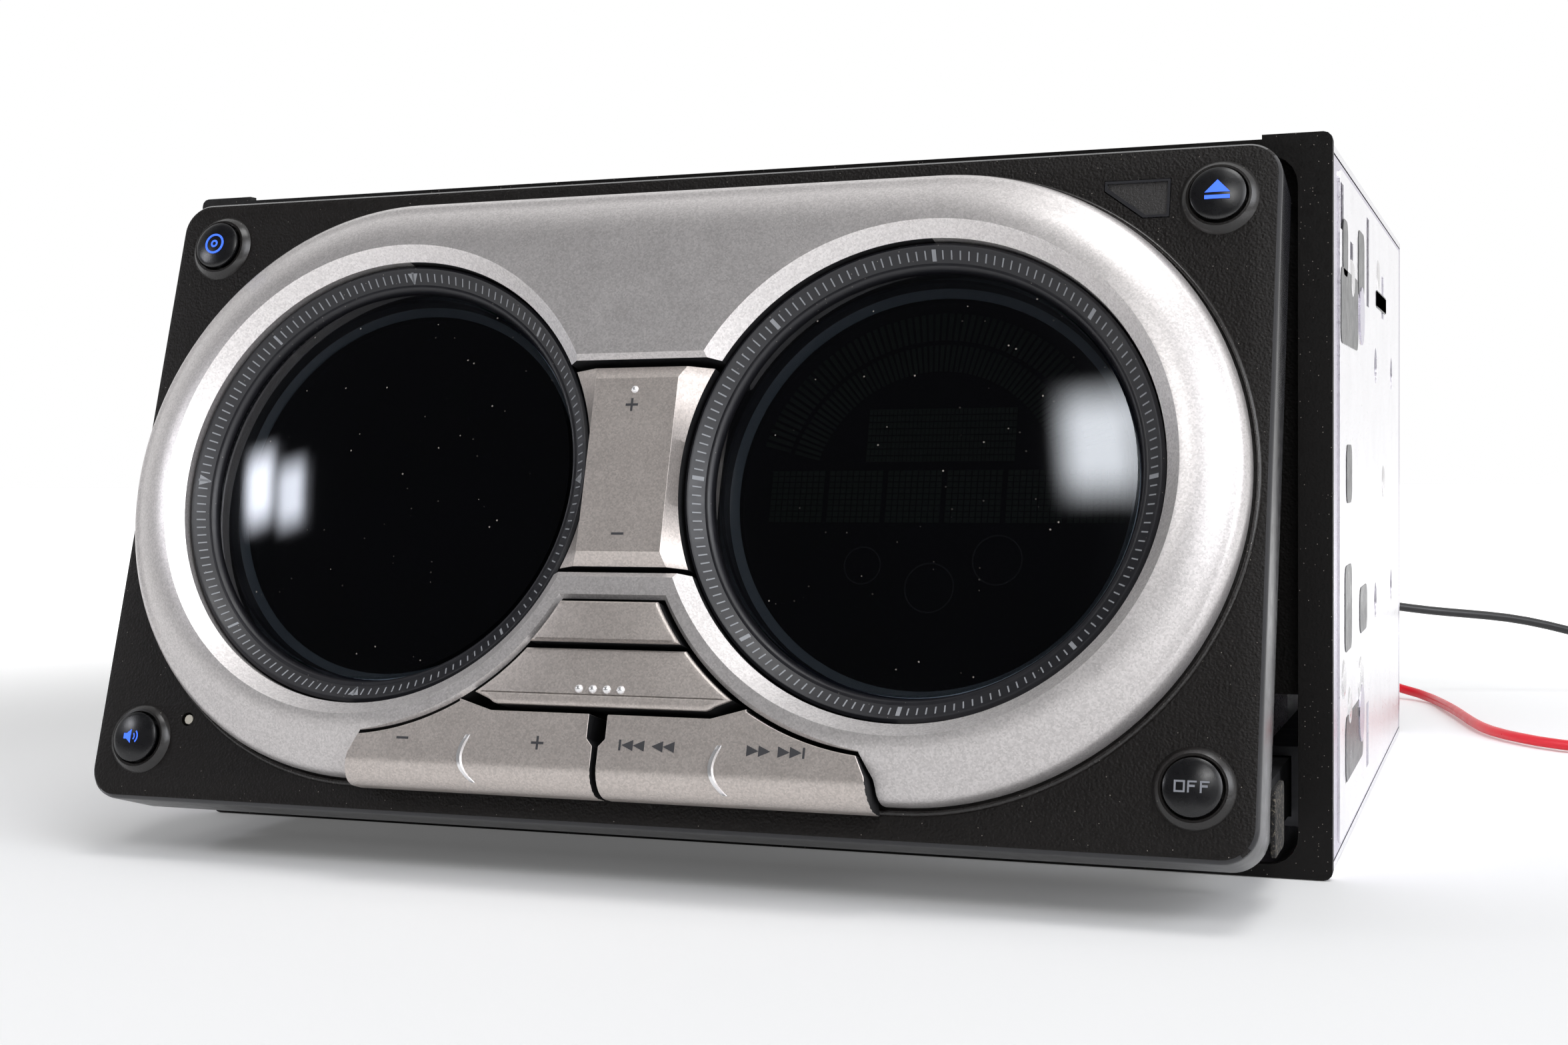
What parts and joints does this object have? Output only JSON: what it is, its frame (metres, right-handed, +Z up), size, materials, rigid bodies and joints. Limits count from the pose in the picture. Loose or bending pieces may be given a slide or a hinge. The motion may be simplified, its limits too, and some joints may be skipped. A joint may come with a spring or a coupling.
{
  "type": "car stereo head unit",
  "caption": "Double height car stereo head unit with a motor driven tilting front panel, round twin displays, a disc drive, a cartridge drive and rocker keys.",
  "frame": {"origin": "centre of the underside of the bottom plate, midway along its width and length", "axes": "+X to the right as seen by the driver, +Y to the rear of the unit, +Z up; the front panel faces -Y"},
  "size_m": [0.2491, 0.2813, 0.1],
  "materials": {
    "front_frame": "fine grained black plastic with dust at the edges",
    "bottom_plate": "bright zinc plated sheet steel",
    "left_side_panel": "bright zinc plated sheet steel",
    "right_side_panel": "bright zinc plated sheet steel",
    "rear_panel": "bright zinc plated sheet steel",
    "top_cover": "bright zinc plated sheet steel",
    "inner_fascia": "matt black plastic",
    "deck_bracket": "zinc plated steel",
    "cd_base_plate": "zinc plated steel",
    "cd_top_plate": "zinc plated steel",
    "cd_roller": "black rubber sleeve on a steel shaft",
    "cd_spindle_motor": "plated motor can",
    "cd_turntable": "black plastic with a rubber seat",
    "cd_pickup": "black moulding with a small lens",
    "cd_guide_rods": "ground steel rods",
    "cd_clamp": "black plastic puck",
    "cd_clamp_arm": "zinc plated steel",
    "md_base_plate": "zinc plated steel with two ground rods",
    "md_cage": "folded zinc plated sheet",
    "md_spindle_motor": "plated motor can",
    "md_turntable": "black plastic hub with a magnet",
    "md_pickup": "black moulding",
    "main_board": "green lacquered circuit board",
    "tuner_can": "tinned steel can",
    "capacitor": "black sleeve",
    "amplifier_chip": "black epoxy",
    "heat_sink": "bare extruded fins",
    "power_socket": "black plastic",
    "harness_plug": "ivory plastic",
    "aerial_socket": "nickel plated",
    "slide_rail_left": "plain extrusion, greased",
    "slide_rail_right": "plain extrusion, greased",
    "carriage_frame": "dark plated steel",
    "drive_rack": "natural acetal",
    "drive_pinion": "natural acetal",
    "drive_motor": "plated motor can",
    "tilt_motor": "plated motor can",
    "panel_shell": "coarse grained black plastic with a polished edge",
    "panel_back_cover": "matt black plastic",
    "panel_board": "green lacquered circuit board",
    "silver_bezel": "fine metallic silver paint",
    "ring_left": "dark satin with pale marks",
    "ring_right": "dark satin with pale marks",
    "lens_left": "dark polished tinted lens",
    "lens_right": "dark polished tinted lens",
    "display_left": "black display glass",
    "display_right": "black display glass",
    "infrared_window": "dark grained infrared filter",
    "volume_rocker": "fine metallic silver paint",
    "mode_button": "fine metallic silver paint",
    "source_button": "fine metallic silver paint",
    "disc_rocker": "fine metallic silver paint",
    "track_rocker": "fine metallic silver paint",
    "button_top_left": "black satin with a lit legend",
    "button_top_right": "black satin with a lit legend",
    "button_bottom_left": "black satin with a lit legend",
    "button_bottom_right": "black satin with a grey legend",
    "reset_button": "plain plastic",
    "red_lead": "glossy red insulation",
    "black_lead": "black insulation"
  },
  "bodies": {
    "chassis": {"front_frame": "front_frame", "bottom_plate": "bottom_plate", "left_side_panel": "left_side_panel", "right_side_panel": "right_side_panel", "rear_panel": "rear_panel", "top_cover": "top_cover", "inner_fascia": "inner_fascia", "deck_bracket": "deck_bracket", "cd_base_plate": "cd_base_plate", "cd_top_plate": "cd_top_plate", "cd_spindle_motor": "cd_spindle_motor", "cd_guide_rods": "cd_guide_rods", "md_base_plate": "md_base_plate", "md_cage": "md_cage", "md_spindle_motor": "md_spindle_motor", "main_board": "main_board", "tuner_can": "tuner_can", "capacitor": "capacitor", "amplifier_chip": "amplifier_chip", "heat_sink": "heat_sink", "power_socket": "power_socket", "harness_plug": "harness_plug", "aerial_socket": "aerial_socket", "slide_rail_left": "slide_rail_left", "slide_rail_right": "slide_rail_right", "drive_motor": "drive_motor", "red_lead": "red_lead", "black_lead": "black_lead"},
    "carriage": {"carriage_frame": "carriage_frame", "drive_rack": "drive_rack", "tilt_motor": "tilt_motor"},
    "pinion": {"drive_pinion": "drive_pinion"},
    "front_panel": {"panel_shell": "panel_shell", "panel_back_cover": "panel_back_cover", "panel_board": "panel_board", "silver_bezel": "silver_bezel", "ring_left": "ring_left", "ring_right": "ring_right", "lens_left": "lens_left", "lens_right": "lens_right", "display_left": "display_left", "display_right": "display_right", "infrared_window": "infrared_window"},
    "volume_rocker": {"volume_rocker": "volume_rocker"},
    "mode_button": {"mode_button": "mode_button"},
    "source_button": {"source_button": "source_button"},
    "disc_rocker": {"disc_rocker": "disc_rocker"},
    "track_rocker": {"track_rocker": "track_rocker"},
    "button_top_left": {"button_top_left": "button_top_left"},
    "button_top_right": {"button_top_right": "button_top_right"},
    "button_bottom_left": {"button_bottom_left": "button_bottom_left"},
    "button_bottom_right": {"button_bottom_right": "button_bottom_right"},
    "reset_button": {"reset_button": "reset_button"},
    "cd_roller": {"cd_roller": "cd_roller"},
    "cd_turntable": {"cd_turntable": "cd_turntable"},
    "cd_pickup": {"cd_pickup": "cd_pickup"},
    "cd_clamp_arm": {"cd_clamp_arm": "cd_clamp_arm"},
    "cd_clamp": {"cd_clamp": "cd_clamp"},
    "md_turntable": {"md_turntable": "md_turntable"},
    "md_pickup": {"md_pickup": "md_pickup"}
  },
  "joints": [
    {"name": "carriage_slide", "type": "slide", "parent": "chassis", "child": "carriage", "axis": [0, -1, 0], "range_m": [-0.02906, 0.0721]},
    {"name": "panel_tilt", "type": "hinge", "parent": "carriage", "child": "front_panel", "pos_m": [0, -0.09596, 0.0106], "axis": [-1, 0, 0], "range_deg": [-16.66, 41.35]},
    {"name": "drive_pinion_spin", "type": "hinge", "parent": "chassis", "child": "pinion", "pos_m": [-0.07035, -0.05, 0.0105], "axis": [0, 0, 1], "range_deg": [-278, 690]},
    {"name": "volume_rock", "type": "hinge", "parent": "front_panel", "child": "volume_rocker", "pos_m": [0, -0.10185, 0.05513], "axis": [1, 0, 0], "range_deg": [-2.2, 2.2], "stiffness_Nm_per_rad": 0.05},
    {"name": "disc_rock", "type": "hinge", "parent": "front_panel", "child": "disc_rocker", "pos_m": [-0.018, -0.1131, 0.0175], "axis": [0, 0.2865, 0.9581], "range_deg": [-1.8, 1.8], "stiffness_Nm_per_rad": 0.05},
    {"name": "track_rock", "type": "hinge", "parent": "front_panel", "child": "track_rocker", "pos_m": [0.018, -0.1131, 0.0175], "axis": [0, 0.2865, 0.9581], "range_deg": [-1.8, 1.8], "stiffness_Nm_per_rad": 0.05},
    {"name": "mode_button_press", "type": "slide", "parent": "front_panel", "child": "mode_button", "axis": [0, 0.9581, -0.2865], "range_m": [0, 0.0008], "stiffness_N_per_m": 300},
    {"name": "source_button_press", "type": "slide", "parent": "front_panel", "child": "source_button", "axis": [0, 0.9581, -0.2865], "range_m": [0, 0.0008], "stiffness_N_per_m": 300},
    {"name": "button_top_left_press", "type": "slide", "parent": "front_panel", "child": "button_top_left", "axis": [0, 0.9581, -0.2865], "range_m": [0, 0.0008], "stiffness_N_per_m": 300},
    {"name": "button_top_right_press", "type": "slide", "parent": "front_panel", "child": "button_top_right", "axis": [0, 0.9581, -0.2865], "range_m": [0, 0.0008], "stiffness_N_per_m": 300},
    {"name": "button_bottom_left_press", "type": "slide", "parent": "front_panel", "child": "button_bottom_left", "axis": [0, 0.9581, -0.2865], "range_m": [0, 0.0008], "stiffness_N_per_m": 300},
    {"name": "button_bottom_right_press", "type": "slide", "parent": "front_panel", "child": "button_bottom_right", "axis": [0, 0.9581, -0.2865], "range_m": [0, 0.0008], "stiffness_N_per_m": 300},
    {"name": "reset_button_press", "type": "slide", "parent": "front_panel", "child": "reset_button", "axis": [0, 0.9581, -0.2865], "range_m": [0, 0.0008], "stiffness_N_per_m": 100},
    {"name": "cd_roller_spin", "type": "hinge", "parent": "chassis", "child": "cd_roller", "pos_m": [0, -0.053, 0.0774], "axis": [1, 0, 0], "continuous": true},
    {"name": "cd_turntable_spin", "type": "hinge", "parent": "chassis", "child": "cd_turntable", "pos_m": [0, 0.001, 0.079], "axis": [0, 0, 1], "continuous": true},
    {"name": "cd_pickup_slide", "type": "slide", "parent": "chassis", "child": "cd_pickup", "axis": [1, 0, 0], "range_m": [0, 0.0275]},
    {"name": "cd_clamp_lower", "type": "hinge", "parent": "chassis", "child": "cd_clamp_arm", "pos_m": [0, 0.057, 0.0918], "axis": [1, 0, 0], "range_deg": [0, 4.5], "stiffness_Nm_per_rad": 0.25, "springref_deg": -11.46},
    {"name": "cd_clamp_spin", "type": "hinge", "parent": "cd_clamp_arm", "child": "cd_clamp", "pos_m": [0, 0.001, 0.089], "axis": [0, 0, 1], "continuous": true},
    {"name": "md_turntable_spin", "type": "hinge", "parent": "chassis", "child": "md_turntable", "pos_m": [0, -0.029, 0.056], "axis": [0, 0, 1], "continuous": true},
    {"name": "md_pickup_slide", "type": "slide", "parent": "chassis", "child": "md_pickup", "axis": [1, 0, 0], "range_m": [0, 0.011]}
  ],
  "couplings": [
    {"joint": "panel_tilt", "follows": "carriage_slide", "rad_per_m": 10},
    {"joint": "drive_pinion_spin", "follows": "carriage_slide", "rad_per_m": 166.66}
  ]
}
